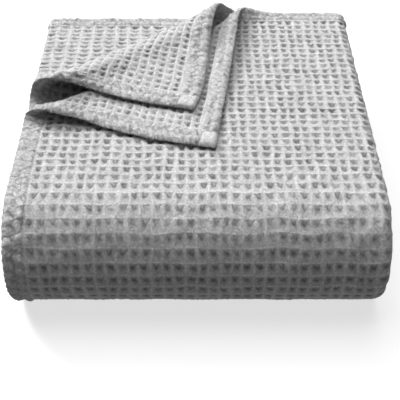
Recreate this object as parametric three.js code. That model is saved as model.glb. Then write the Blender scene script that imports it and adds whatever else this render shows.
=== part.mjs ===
// Throw blanket of waffle cloth, folded into a stack, with two back corners turned back.
// It is one hemmed sheet, so it is one solid. Millimetres, +Z up, front at -Y, origin under the middle.
import * as THREE from "three";
import { mergeVertices } from "three/addons/utils/BufferGeometryUtils.js";

// Size of the folded stack, under its turned-back corners
const WIDTH = 378;
const DEPTH = 426;
const HEIGHT = 128;

// The cloth and its folds: four plies across the width, and that band laid in five passes along the depth
const CLOTH = 4.6;
const PLIES = 4;
const PASSES = 5;
const PITCH = (HEIGHT - CLOTH) / (PLIES * PASSES - 1);
const BAND = PLIES * PITCH;
const HALF = CLOTH / 2;
const OUTER_PLY = 1.5 * PITCH;
const INNER_PLY = 0.5 * PITCH;

// Lines that the folds turn about, and where the cloth ends
const LEFT = -WIDTH / 2;
const RIGHT_TURN_X = WIDTH / 2 - OUTER_PLY - HALF;
const LEFT_FOLD_X = LEFT + INNER_PLY + HALF;
const FRONT_Y = -DEPTH / 2 + HEIGHT / 2;
const FRONT_Z = HEIGHT / 2;
const BACK_Y = DEPTH / 2 - 1.5 * BAND - OUTER_PLY - HALF;
const BACK_Z = FRONT_Z - BAND / 2;
const BACK_HEM_Y = DEPTH / 2 - 1;
const TOP_PLY_Z = HEIGHT - HALF;

// Unevenness: the inner passes slip sideways, and the bared corner of the third ply springs up and outwards
const SLIP = { second: 2.5, fourth: -2.5, third: 2 };
const BARED = { rise: 5, spread: 4, ease: 0.45 };

// Routes of the hems on the two turned-back corners, from where the cloth lifts to the corner's tip.
// Each point has its place and its rise above the top ply.
// Between its hems a corner's roll is pressed: it sinks by a share of its height over the bed that it lies on,
// and draws in by a share of its overhang behind the line where the cloth lifts.
const TOP_TIP = { x: 18, y: -86, rise: PITCH };
const TOP_CORNER = {
  left: [
    { x: LEFT, y: -70, rise: 0 },
    { x: LEFT, y: -40, rise: 2 },
    { x: LEFT + 3, y: -31, rise: 11 },
    { x: -170, y: -36, rise: 20 },
    { x: -152, y: -40, rise: 18 },
    { x: -128, y: -42, rise: 12.5 },
    { x: -104, y: -50, rise: 8 },
    { x: -51, y: -70, rise: 6.7 },
    TOP_TIP,
  ],
  back: [
    { x: 110, y: BACK_HEM_Y, rise: 0 },
    { x: 84, y: BACK_HEM_Y, rise: 3 },
    { x: 62, y: 203, rise: 14 },
    { x: 52, y: 176, rise: 24 },
    { x: 46, y: 130, rise: 20 },
    { x: 34, y: 35, rise: 10 },
    { x: 23, y: -45, rise: 6.7 },
    TOP_TIP,
  ],
  bed: PITCH,
  sink: { roll: 0.5, flap: 0.85 },
  drawIn: 0.5,
  quickness: 4,
};
const SECOND_TIP = { x: -5, y: -26, rise: 13.8 };
const SECOND_CORNER = {
  left: [
    { x: LEFT, y: -32, rise: -PITCH },
    { x: LEFT, y: -2, rise: -3.5 },
    { x: LEFT + 1, y: 11, rise: 7 },
    { x: -180, y: 6, rise: 27 },
    { x: -160, y: -1, rise: 37 },
    { x: -141, y: 3, rise: 29 },
    { x: -121, y: 4, rise: 21 },
    { x: -101, y: -1, rise: 17 },
    { x: -60, y: -14, rise: 14.5 },
    SECOND_TIP,
  ],
  back: [
    { x: 82, y: BACK_HEM_Y, rise: -PITCH },
    { x: 58, y: BACK_HEM_Y, rise: -2 },
    { x: 40, y: 201, rise: 14 },
    { x: 26, y: 173, rise: 35 },
    { x: 19, y: 142, rise: 34 },
    { x: 15, y: 116, rise: 26 },
    { x: 11, y: 72, rise: 17.5 },
    { x: 4, y: 7, rise: 14.2 },
    SECOND_TIP,
  ],
  bed: 2.1 * PITCH,
  sink: { roll: 0.5, flap: 0.5 },
  drawIn: 0,
  quickness: 2,
};

// Share of the way to its tip over which a corner comes to lie on its bed
const BED_SHARE = 0.2;

// How finely each stretch is divided
const PLY_STEPS = { hemmed: 6, plain: 6, outerTurn: 7, tightTurn: 5 };
const PASS_STEPS = { top: 6, straight: 1, frontTurn: 14, backTurn: 12, innerFrontTurn: 10, innerBackTurn: 8 };
const CORNER_ROWS = { lying: 3, roll: 12, flap: 5 };
const ROLL_SHARE = 0.45;
const SLOPE_STEP = 1e-3;
const MERGE_DISTANCE = 1e-3;

// Whole numbers from 0 up to and including last, as shares of last
function shares(last) {
  return Array.from({ length: last + 1 }, (_, i) => i / last);
}

// Straight run of a folded line at one level, whose face looks up or down
function run({ from, to, level, facing, steps, slip = 0, spring = 0 }) {
  return shares(steps).map((share) => ({
    along: THREE.MathUtils.lerp(from, to, share),
    level,
    face: { along: 0, level: facing },
    slip,
    spring,
  }));
}

// Half-turn of a folded line about a point, with the slip and spring easing from one run's to the next's
function halfTurn({ along, level, radius, start, sweep, facing = 1, steps, slip = [0, 0], spring = [0, 0] }) {
  return shares(steps).map((share) => {
    const angle = THREE.MathUtils.degToRad(start + sweep * share);
    const cos = Math.cos(angle);
    const sin = Math.sin(angle);
    return {
      along: along + radius * cos,
      level: level + radius * sin,
      face: { along: facing * cos, level: facing * sin },
      slip: THREE.MathUtils.lerp(...slip, THREE.MathUtils.smoothstep(share, 0, 1)),
      spring: THREE.MathUtils.lerp(...spring, THREE.MathUtils.smoothstep(share, 0, 1)),
    };
  });
}

// Section across the width: the top ply, round the right side to the lowest, then the two plies between them
const topPly = run({ from: LEFT, to: RIGHT_TURN_X, level: OUTER_PLY, facing: 1, steps: PLY_STEPS.hemmed });
const outerTurn = halfTurn({
  along: RIGHT_TURN_X,
  level: 0,
  radius: OUTER_PLY,
  start: 90,
  sweep: -180,
  steps: PLY_STEPS.outerTurn,
});
const lowestPly = run({
  from: RIGHT_TURN_X,
  to: LEFT_FOLD_X,
  level: -OUTER_PLY,
  facing: -1,
  steps: PLY_STEPS.plain,
  spring: 0.5,
});
const leftFold = halfTurn({
  along: LEFT_FOLD_X,
  level: -PITCH,
  radius: INNER_PLY,
  start: -90,
  sweep: -180,
  steps: PLY_STEPS.tightTurn,
  spring: [0.5, 1],
});
const thirdPly = run({
  from: LEFT_FOLD_X,
  to: RIGHT_TURN_X,
  level: -INNER_PLY,
  facing: 1,
  steps: PLY_STEPS.plain,
  spring: 1,
});
const innerTurn = halfTurn({
  along: RIGHT_TURN_X,
  level: 0,
  radius: INNER_PLY,
  start: -90,
  sweep: 180,
  facing: -1,
  steps: PLY_STEPS.tightTurn,
});
const secondPly = run({
  from: RIGHT_TURN_X,
  to: LEFT,
  level: INNER_PLY,
  facing: -1,
  steps: PLY_STEPS.hemmed,
});
const section = [topPly, outerTurn, lowestPly, leftFold, thirdPly, innerTurn, secondPly];

// Passes of the band, to the front with its face up or to the back with its face down
function passToFront(from, bandsUp, steps, slip = 0) {
  return run({ from, to: FRONT_Y, level: FRONT_Z + bandsUp * BAND, facing: 1, steps, slip });
}

function passToBack(bandsUp, slip = 0) {
  const level = FRONT_Z + bandsUp * BAND;
  return run({ from: FRONT_Y, to: BACK_Y, level, facing: -1, steps: PASS_STEPS.straight, slip });
}

// Turns of the band, which nest about one line at the front and one at the back
function turnAtFront(bands, steps, slip) {
  const radius = bands * BAND;
  return halfTurn({ along: FRONT_Y, level: FRONT_Z, radius, start: 90, sweep: 180, steps, slip });
}

function turnAtBack(bands, steps, slip) {
  const radius = bands * BAND;
  return halfTurn({ along: BACK_Y, level: BACK_Z, radius, start: -90, sweep: 180, steps, slip });
}

// Path along the depth: the top pass, down the full front, along the floor, then over and over to the middle
const topPass = passToFront(BACK_HEM_Y, 2, PASS_STEPS.top);
const path = [
  topPass,
  turnAtFront(2, PASS_STEPS.frontTurn),
  passToBack(-2),
  turnAtBack(1.5, PASS_STEPS.backTurn, [0, SLIP.second]),
  passToFront(BACK_Y, 1, PASS_STEPS.straight, SLIP.second),
  turnAtFront(1, PASS_STEPS.innerFrontTurn, [SLIP.second, SLIP.fourth]),
  passToBack(-1, SLIP.fourth),
  turnAtBack(0.5, PASS_STEPS.innerBackTurn, [SLIP.fourth, SLIP.third]),
  passToFront(BACK_Y, 0, PASS_STEPS.straight, SLIP.third),
];

// Corners of all triangles, three to a triangle, which are merged at the end
const corners = [];

function addTriangle(a, b, c) {
  corners.push(a, b, c);
}

function addQuad(a, b, c, d) {
  addTriangle(a, b, c);
  addTriangle(a, c, d);
}

// How loose the top pass is, from 0 under the second ply to 1 where its turned-back corner leaves it bare
function looseness(x, pass) {
  const fromSide = (x - LEFT) / (SECOND_CORNER.back[0].x - LEFT);
  const fromBack = (BACK_HEM_Y - pass.along) / (BACK_HEM_Y - SECOND_CORNER.left[0].y);
  const loose = 1 - THREE.MathUtils.smoothstep(fromSide + fromBack, 1 - BARED.ease, 1);
  return topPass.includes(pass) ? loose : 0;
}

// Point on one side of the cloth, where a station of the section meets a station of the path
function clothPoint(ply, pass, side) {
  const x = ply.along + side * HALF * ply.face.along + pass.slip;
  const level = ply.level + side * HALF * ply.face.level;
  const loose = ply.spring > 0 ? looseness(ply.along, pass) : 0;
  return new THREE.Vector3(
    x - BARED.spread * loose,
    pass.along + level * pass.face.along,
    pass.level + level * pass.face.level + BARED.rise * ply.spring * loose,
  );
}

// Both sides of the cloth over one stretch of the section and one of the path
function addStretch(plyStations, passStations) {
  for (let i = 0; i < plyStations.length - 1; i += 1) {
    for (let j = 0; j < passStations.length - 1; j += 1) {
      const around = (side) => [
        clothPoint(plyStations[i], passStations[j], side),
        clothPoint(plyStations[i], passStations[j + 1], side),
        clothPoint(plyStations[i + 1], passStations[j + 1], side),
        clothPoint(plyStations[i + 1], passStations[j], side),
      ];
      addQuad(...around(1));
      addQuad(...around(-1).reverse());
    }
  }
}

// Edge of the cloth along a side hem, on the first or the last station of the section
function addSideHem(ply, passStations, isFirst) {
  for (let j = 0; j < passStations.length - 1; j += 1) {
    const quad = [
      clothPoint(ply, passStations[j], 1),
      clothPoint(ply, passStations[j], -1),
      clothPoint(ply, passStations[j + 1], -1),
      clothPoint(ply, passStations[j + 1], 1),
    ];
    addQuad(...(isFirst ? quad : quad.reverse()));
  }
}

// Edge of the cloth along an end hem, on the first or the last station of the path
function addEndHem(plyStations, pass, isFirst) {
  for (let i = 0; i < plyStations.length - 1; i += 1) {
    const quad = [
      clothPoint(plyStations[i], pass, 1),
      clothPoint(plyStations[i + 1], pass, 1),
      clothPoint(plyStations[i + 1], pass, -1),
      clothPoint(plyStations[i], pass, -1),
    ];
    addQuad(...(isFirst ? quad : quad.reverse()));
  }
}

function hemCurve(route) {
  const points = route.map(({ x, y, rise }) => new THREE.Vector3(x, y, TOP_PLY_Z + rise));
  return new THREE.CatmullRomCurve3(points, false, "centripetal");
}

// Turned-back part of a ply: threads pressed down between its left hem and its back hem, which meet at the tip
function turnedBackSheet(corner) {
  const leftHem = hemCurve(corner.left);
  const backHem = hemCurve(corner.back);
  const liftStart = leftHem.getPointAt(0).setZ(0);
  const liftLine = backHem.getPointAt(0).setZ(0).sub(liftStart).normalize();
  const behind = new THREE.Vector3(-liftLine.y, liftLine.x, 0);
  const point = (share, across) => {
    const place = leftHem.getPointAt(share).lerp(backHem.getPointAt(share), across);
    const pressed = 1 - Math.abs(1 - 2 * across) ** corner.quickness;
    const onBed = THREE.MathUtils.smoothstep(share, 0, BED_SHARE);
    const pastRoll = THREE.MathUtils.smoothstep(share, BED_SHARE, 2 * BED_SHARE);
    const bedRise = THREE.MathUtils.lerp(corner.left[0].rise, corner.bed, onBed);
    const sink = THREE.MathUtils.lerp(corner.sink.roll, corner.sink.flap, pastRoll);
    const overhang = Math.max(place.clone().sub(liftStart).dot(behind), 0);
    place.z -= sink * pressed * (place.z - TOP_PLY_Z - bedRise);
    return place.addScaledVector(behind, -corner.drawIn * pressed * overhang);
  };
  const normal = (share, across) => {
    const before = point(Math.max(share - SLOPE_STEP, 0), across);
    const after = point(Math.min(share + SLOPE_STEP, 1 - SLOPE_STEP), across);
    const threadStart = point(share, Math.max(across - SLOPE_STEP, 0));
    const threadEnd = point(share, Math.min(across + SLOPE_STEP, 1));
    return threadEnd.sub(threadStart).cross(after.sub(before)).normalize();
  };
  return { point, normal };
}

// One row of points across a ply, moved off its middle to the upper and the lower side of the cloth
function clothRow(points, normals) {
  const moved = (amount) => points.map((point, j) => point.clone().addScaledVector(normals[j], amount));
  return { upper: moved(HALF), lower: moved(-HALF) };
}

// Rows over a top-pass ply: from its front and right edges to where the cloth lifts, then on towards the tip
function rowsToTip(plyStations, sheet) {
  const level = topPass[0].level + plyStations[0].level;
  const frontEdge = plyStations.map(({ along }) => new THREE.Vector3(along, FRONT_Y, level));
  frontEdge.sort((a, b) => a.x - b.x);
  const rightEdge = topPass.map(({ along }) => new THREE.Vector3(RIGHT_TURN_X, along, level)).reverse();
  const border = [...frontEdge, ...rightEdge.slice(1)];
  const across = shares(border.length - 1);

  const up = new THREE.Vector3(0, 0, 1);
  const lying = shares(CORNER_ROWS.lying)
    .slice(0, -1)
    .map((share) =>
      clothRow(
        border.map((point, j) => point.clone().lerp(sheet.point(0, across[j]), share)),
        border.map(() => up),
      ),
    );
  const rollShares = shares(CORNER_ROWS.roll).map((share) => share * ROLL_SHARE);
  const flapShares = shares(CORNER_ROWS.flap).map((share) => THREE.MathUtils.lerp(ROLL_SHARE, 1, share));
  const lifted = [...rollShares, ...flapShares.slice(1, -1)].map((share) =>
    clothRow(
      across.map((amount) => sheet.point(share, amount)),
      across.map((amount) => sheet.normal(share, amount)),
    ),
  );
  return [...lying, ...lifted];
}

// Both sides and the two hems of a top-pass ply whose corner is turned back
function addPlyWithCorner(plyStations, corner) {
  const sheet = turnedBackSheet(corner);
  const rows = rowsToTip(plyStations, sheet);
  const last = rows[0].upper.length - 1;
  for (let i = 0; i < rows.length - 1; i += 1) {
    const near = rows[i];
    const far = rows[i + 1];
    for (let j = 0; j < last; j += 1) {
      addQuad(near.upper[j], near.upper[j + 1], far.upper[j + 1], far.upper[j]);
      addQuad(near.lower[j + 1], near.lower[j], far.lower[j], far.lower[j + 1]);
    }
    addQuad(near.upper[0], far.upper[0], far.lower[0], near.lower[0]);
    addQuad(far.upper[last], near.upper[last], near.lower[last], far.lower[last]);
  }
  addTip(rows.at(-1), sheet);
}

// Last row of a turned-back corner, closed to its tip
function addTip(row, sheet) {
  const last = row.upper.length - 1;
  const normal = sheet.normal(1 - 2 * SLOPE_STEP, 0.5);
  const upper = sheet.point(1, 0).addScaledVector(normal, HALF);
  const lower = sheet.point(1, 0).addScaledVector(normal, -HALF);
  for (let j = 0; j < last; j += 1) {
    addTriangle(row.upper[j], row.upper[j + 1], upper);
    addTriangle(row.lower[j + 1], row.lower[j], lower);
  }
  addQuad(row.upper[0], upper, lower, row.lower[0]);
  addQuad(upper, row.upper[last], row.lower[last], lower);
}

// The whole cloth, whose two hemmed plies have the turned-back corners in the top pass
const cornerOf = new Map([
  [topPly, TOP_CORNER],
  [secondPly, SECOND_CORNER],
]);
for (const plyStations of section) {
  const corner = cornerOf.get(plyStations);
  if (corner) {
    addPlyWithCorner(plyStations, corner);
  } else {
    addStretch(plyStations, topPass);
    addEndHem(plyStations, topPass[0], true);
  }
  for (const passStations of path.slice(1)) {
    addStretch(plyStations, passStations);
  }
  addEndHem(plyStations, path.at(-1).at(-1), false);
}
for (const passStations of path.slice(1)) {
  addSideHem(topPly[0], passStations, true);
  addSideHem(secondPly.at(-1), passStations, false);
}

const clothMaterial = new THREE.MeshStandardMaterial({ color: 0xb2b2b2, roughness: 0.95, metalness: 0 });
clothMaterial.name = "waffle_cloth";

const clothGeometry = mergeVertices(new THREE.BufferGeometry().setFromPoints(corners), MERGE_DISTANCE);
clothGeometry.computeVertexNormals();

const throwBlanket = new THREE.Mesh(clothGeometry, clothMaterial);
throwBlanket.name = "throw_blanket";

const part = new THREE.Group();
part.add(throwBlanket);

export default part;
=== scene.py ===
"""Looks of the folded waffle-weave throw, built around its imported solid.

Sizes are in millimetres, as in the part, and become metres where the mesh is made.
A point of the cloth has a flat place: across, from its first side hem, and along, from its back hem.
It lies on the face of the cloth (side 1), on its reverse (side -1) or on its edge (side 0).
"""
import math
from dataclasses import dataclass

import bmesh
import bpy
import numpy as np
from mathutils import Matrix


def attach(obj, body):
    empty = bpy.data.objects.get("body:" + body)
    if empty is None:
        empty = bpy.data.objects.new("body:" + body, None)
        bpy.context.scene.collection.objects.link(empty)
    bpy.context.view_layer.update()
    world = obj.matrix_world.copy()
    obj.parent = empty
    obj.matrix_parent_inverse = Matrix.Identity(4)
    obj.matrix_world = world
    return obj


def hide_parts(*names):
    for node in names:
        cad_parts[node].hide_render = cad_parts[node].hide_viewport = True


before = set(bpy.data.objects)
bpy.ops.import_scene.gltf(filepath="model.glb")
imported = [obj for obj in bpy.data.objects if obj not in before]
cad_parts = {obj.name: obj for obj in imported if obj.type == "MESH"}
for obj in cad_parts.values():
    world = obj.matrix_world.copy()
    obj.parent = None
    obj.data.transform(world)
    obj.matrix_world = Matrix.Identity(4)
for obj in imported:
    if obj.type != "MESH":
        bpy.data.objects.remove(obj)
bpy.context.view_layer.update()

MM = 0.001

# Size of the folded stack under its turned-back corners, and of its cloth and folds
WIDTH = 378.0
DEPTH = 426.0
HEIGHT = 128.0
CLOTH = 4.6
PLIES = 4
PASSES = 5
PITCH = (HEIGHT - CLOTH) / (PLIES * PASSES - 1)
BAND = PLIES * PITCH
HALF = CLOTH / 2
OUTER_PLY = 1.5 * PITCH
INNER_PLY = 0.5 * PITCH

# Lines that the folds turn about, and where the cloth ends
LEFT = -WIDTH / 2
RIGHT_TURN_X = WIDTH / 2 - OUTER_PLY - HALF
LEFT_FOLD_X = LEFT + INNER_PLY + HALF
FRONT_Y = -DEPTH / 2 + HEIGHT / 2
FRONT_Z = HEIGHT / 2
BACK_Y = DEPTH / 2 - 1.5 * BAND - OUTER_PLY - HALF
BACK_Z = FRONT_Z - BAND / 2
BACK_HEM_Y = DEPTH / 2 - 1
TOP_PLY_Z = HEIGHT - HALF

# Unevenness of the stack: inner passes slip sideways, and the bared third ply springs up and outwards
SECOND_SLIP = 2.5
FOURTH_SLIP = -2.5
THIRD_SLIP = 2.0
BARED_RISE = 5.0
LOWEST_RISE_SHARE = 0.5
BARED_SPREAD = 4.0
BARED_EASE = 0.45

# Routes of the turned-back hems, from lift to tip: place across, place in depth and rise above the top ply
TOP_TIP = (18, -86, PITCH)
TOP_LEFT_HEM = [
    (LEFT, -70, 0),
    (LEFT, -40, 2),
    (LEFT + 3, -31, 11),
    (-170, -36, 20),
    (-152, -40, 18),
    (-128, -42, 12.5),
    (-104, -50, 8),
    (-51, -70, 6.7),
    TOP_TIP,
]
TOP_BACK_HEM = [
    (110, BACK_HEM_Y, 0),
    (84, BACK_HEM_Y, 3),
    (62, 203, 14),
    (52, 176, 24),
    (46, 130, 20),
    (34, 35, 10),
    (23, -45, 6.7),
    TOP_TIP,
]
SECOND_TIP = (-5, -26, 13.8)
SECOND_LEFT_HEM = [
    (LEFT, -32, -PITCH),
    (LEFT, -2, -3.5),
    (LEFT + 1, 11, 7),
    (-180, 6, 27),
    (-160, -1, 37),
    (-141, 3, 29),
    (-121, 4, 21),
    (-101, -1, 17),
    (-60, -14, 14.5),
    SECOND_TIP,
]
SECOND_BACK_HEM = [
    (82, BACK_HEM_Y, -PITCH),
    (58, BACK_HEM_Y, -2),
    (40, 201, 14),
    (26, 173, 35),
    (19, 142, 34),
    (15, 116, 26),
    (11, 72, 17.5),
    (4, 7, 14.2),
    SECOND_TIP,
]

# How a turned-back corner is pressed between its hems: down to its bed, in its roll and flap, and inwards
BED_SHARE = 0.2
TOP_PRESS = {"bed": PITCH, "sink": (0.5, 0.85), "draw_in": 0.5, "quickness": 4}
SECOND_PRESS = {"bed": 2.1 * PITCH, "sink": (0.5, 0.5), "draw_in": 0.0, "quickness": 2}

# Waffle cells: pitch across and along on each side that shows, longer rows on the front, and their wander
FACE_CELL = (11.07, 11.6)
FRONT_ROW = 14.8
FRONT_ROW_GROWS = (-36.0, -12.0)
FRONT_ROW_SHRINKS = (130.0, 165.0)
FRONT_STRETCH = HEIGHT / (4 * BAND)
THIRD_CELL = (14.8, 9.6)
TOP_FLAP_CELL = (8.8, 10.7)
SECOND_FLAP_CELL = (9.4, 9.9)
GRID_WANDER = (1.3, 0.7)
GRID_WANDER_LENGTH = 45.0
WANDER_FADE = 45.0

# Relief: ridges along the rows and a pit in each cell, with heights in mm and places in shares of a cell
RIDGE_RISE = 0.3
RIDGE_HALF_WIDTH = 0.12
PIT_DEPTH = 2.3
PIT_DEPTH_SPREAD = 0.4
PIT_DROP = (0.02, 0.3)
PIT_CLIMB = (0.32, 0.86)
PIT_HALF_WIDTH = (0.42, 0.18)
PIT_NARROWS = (0.15, 0.9)
PIT_SIDE = 0.24
PIT_FLOAT = 0.3
PIT_FLOAT_WIDTH = 0.16
PIT_FLOAT_END = (0.12, 0.42)
PIT_SHIFT = 0.07
LEAN_SPREAD = 0.3
LEAN_PIVOT = 0.35
FLAP_DEPTH = 0.85
PUCKER = 0.35
PUCKER_LENGTH = 24.0
LUMP = 0.28
LUMP_LENGTH = 5.2

# The full front, by distance from the start of its turn: no ridges, and shallower, wider and rounder pits
FRONT_COMES = (-20.0, 50.0)
FRONT_LOW = (40.0, 70.0)
FRONT_DEPTH = 0.42
FRONT_PIT_HALF_WIDTH = 0.46
FRONT_PIT_SIDE = 0.42
FRONT_PIT_DROP = (0.1, 0.42)
FRONT_PIT_CLIMB = (0.42, 0.98)

# Painted shade of a pit for its depth, and strength of its painted V of shadow: top, front and low front
PIT_SHADE = 0.75
FRONT_SHADE = 1.4
LOW_SHADE = 2.7
FRONT_V_SHADOW = 0.5
LOW_V_SHADOW = 0.8

# Hem round the whole sheet: staggered rows of knobs, smooth doubled corners and a stitched groove
HEM = 22.0
HEM_RISE = 0.7
HEM_STEP = 1.6
FLAP_HEM_STEP = 8.0
HEM_KNOB = 2.0
FLAP_KNOB = 2.4
HEM_KNOB_SPREAD = 0.7
KNOB_ROWS = 2
KNOB_LENGTH = 9.0
KNOB_POWER = 0.6
HEM_LUMP = 0.4
CORNER_RISE = 1.6
STITCH_LINE = 19.6
STITCH_GROOVE = 0.6
STITCH_GROOVE_WIDTH = 1.0
STITCH_SHADE = 0.2
EDGE_THINNING = 0.35
EDGE_ROUND = 2.2
EDGE_BULGE = 1.0
EDGE_DENT = 1.1
EDGE_DENT_REACH = 9.0
EDGE_DENT_SPREAD = 0.35
EDGE_DENT_LENGTH = 9.0
EDGE_KNOB_LENGTH = 7.0
EDGE_INSET = 2.0

# Where the mesh has points: at shares of every waffle cell where it shows best, else this far apart
FACE_SHARES = ((0, 0.17, 0.34, 0.5, 0.66, 0.83), (0, 0.13, 0.38, 0.86))
FLAP_SHARES = ((0, 0.2, 0.4, 0.6, 0.8), (0, 0.14, 0.4, 0.84))
THIRD_SHARES = ((0, 0.2, 0.4, 0.6, 0.8), (0, 0.2, 0.6))
CLOSEST = 0.7
STITCH_SPACING = 1.2
HEM_FINE = 2.2
MEDIUM = 4.4
RIM_SPACING = 9.0
ROLL_HIDDEN = 11.0
HIDDEN = 60.0
TURN_STEP_DEG = 16.0
FOLD_STEP_DEG = 30.0

# Blocks of the mesh: how many a ply with a corner has, where the stitch line's block lies, and the rim
CORNER_BLOCKS = 13
STITCH_BLOCK = (STITCH_LINE - 2.0, HEM + 0.4)
NARROW_BLOCK = 6.0
RIM = HEM - 1.0
TOUCHING = 1e-6

# What shows of the turned-back corners and in their mouths: 0 is a corner's tip and 1 where it lifts
FLAP_SHOWS = 0.95
FACE_SHOWS = 0.97
BARED_SHOWS = 0.92
MOUTH_SHOWS = (0.4, 1.3)
MOUTH_REACH = 70.0
COVERED_SHARE = 0.86


def smooth(low, high, value):
    """0 below low, 1 above high, and an even curve between them."""
    share = np.clip((value - low) / (high - low), 0, 1)
    return share * share * (3 - 2 * share)


def blend(start, end, share):
    """From start, where the share is 0, to end, where it is 1."""
    return start + (end - start) * share


def bell(distance, width):
    """1 at no distance, and next to nothing past twice the width."""
    return np.exp(-((distance / width) ** 2))


@dataclass
class Run:
    """Straight stretch of a folded line at one level, whose face looks up (1) or down (-1)."""

    start: float
    end: float
    level: float
    facing: int
    slip: float = 0.0
    is_turn = False

    @property
    def length(self):
        return abs(self.end - self.start)

    def at(self, distance):
        along = blend(self.start, self.end, distance / self.length)
        even = np.ones_like(along)
        return np.stack([along, self.level * even, 0 * even, self.facing * even, self.slip * even])


@dataclass
class Turn:
    """Half-turn of a folded line about a point, with the slip easing from one run's to the next's."""

    along: float
    level: float
    radius: float
    first_deg: float
    sweep_deg: float
    facing: int = 1
    slip: tuple = (0.0, 0.0)
    is_turn = True

    @property
    def length(self):
        return math.radians(abs(self.sweep_deg)) * self.radius

    def at(self, distance):
        share = distance / self.length
        angle = np.radians(self.first_deg + self.sweep_deg * share)
        cos = np.cos(angle)
        sin = np.sin(angle)
        slip = blend(*self.slip, smooth(0, 1, share))
        along = self.along + self.radius * cos
        level = self.level + self.radius * sin
        return np.stack([along, level, self.facing * cos, self.facing * sin, slip])


class FoldedLine:
    """Stretches laid end to end, read by the distance from the first one's start."""

    def __init__(self, stretches):
        self.stretches = stretches
        self.starts = np.cumsum([0.0] + [stretch.length for stretch in stretches])
        self.length = float(self.starts[-1])

    def which(self, distance):
        found = np.searchsorted(self.starts, distance, side="right") - 1
        return np.clip(found, 0, len(self.stretches) - 1)

    def at(self, distance):
        """Place along, level, the two parts of the direction that the face looks in, and slip."""
        which = self.which(distance)
        found = np.zeros((5, len(distance)))
        for number, stretch in enumerate(self.stretches):
            here = which == number
            found[:, here] = stretch.at(distance[here] - self.starts[number])
        return found


# Section across the width: the top ply, round the right side to the lowest, then the two plies between them
SECTION = FoldedLine([
    Run(LEFT, RIGHT_TURN_X, OUTER_PLY, 1),
    Turn(RIGHT_TURN_X, 0, OUTER_PLY, 90, -180),
    Run(RIGHT_TURN_X, LEFT_FOLD_X, -OUTER_PLY, -1),
    Turn(LEFT_FOLD_X, -PITCH, INNER_PLY, -90, -180),
    Run(LEFT_FOLD_X, RIGHT_TURN_X, -INNER_PLY, 1),
    Turn(RIGHT_TURN_X, 0, INNER_PLY, -90, 180, facing=-1),
    Run(RIGHT_TURN_X, LEFT, INNER_PLY, -1),
])
TOP_PLY, RIGHT_TURN, LOWEST_PLY, LEFT_FOLD, THIRD_PLY, INNER_TURN, SECOND_PLY = range(7)

# Path along the depth: the top pass, down the full front, along the floor, then over and over to the middle
PATH = FoldedLine([
    Run(BACK_HEM_Y, FRONT_Y, FRONT_Z + 2 * BAND, 1),
    Turn(FRONT_Y, FRONT_Z, 2 * BAND, 90, 180),
    Run(FRONT_Y, BACK_Y, FRONT_Z - 2 * BAND, -1),
    Turn(BACK_Y, BACK_Z, 1.5 * BAND, -90, 180, slip=(0, SECOND_SLIP)),
    Run(BACK_Y, FRONT_Y, FRONT_Z + BAND, 1, SECOND_SLIP),
    Turn(FRONT_Y, FRONT_Z, BAND, 90, 180, slip=(SECOND_SLIP, FOURTH_SLIP)),
    Run(FRONT_Y, BACK_Y, FRONT_Z - BAND, -1, FOURTH_SLIP),
    Turn(BACK_Y, BACK_Z, 0.5 * BAND, -90, 180, slip=(FOURTH_SLIP, THIRD_SLIP)),
    Run(BACK_Y, FRONT_Y, FRONT_Z, 1, THIRD_SLIP),
])
TOP_PASS, FRONT_TURN, FLOOR_PASS, BACK_TURN = range(4)
FLAT_WIDTH = SECTION.length
FLAT_LENGTH = PATH.length


class HemCurve:
    """Smooth curve through a hem's route, read by the share of its length."""

    STEPS = 60

    def __init__(self, route):
        points = np.array(route, float) + (0, 0, TOP_PLY_Z)
        before = 2 * points[0] - points[1]
        after = 2 * points[-1] - points[-2]
        points = np.vstack([before, points, after])
        spans = [self.span(*points[i - 1 : i + 3]) for i in range(1, len(points) - 2)]
        self.points = np.vstack(spans + [points[-2:-1]])
        steps = np.linalg.norm(np.diff(self.points, axis=0), axis=1)
        self.shares = np.concatenate([[0], np.cumsum(steps)]) / steps.sum()

    def span(self, before, start, end, after):
        """Points from start up to end, with the pace set by the square root of the distances."""
        gap_in, gap, gap_out = (np.sqrt(np.linalg.norm(b - a)) for a, b in
                                ((before, start), (start, end), (end, after)))
        leave = (start - before) / gap_in - (end - before) / (gap_in + gap) + (end - start) / gap
        arrive = (end - start) / gap - (after - start) / (gap + gap_out) + (after - end) / gap_out
        leave = leave * gap
        arrive = arrive * gap
        t = np.linspace(0, 1, self.STEPS, endpoint=False)[:, None]
        square = -3 * start + 3 * end - 2 * leave - arrive
        cube = 2 * start - 2 * end + leave + arrive
        return start + leave * t + square * t**2 + cube * t**3

    def at(self, share):
        return np.stack([np.interp(share, self.shares, self.points[:, k]) for k in range(3)], -1)


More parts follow.
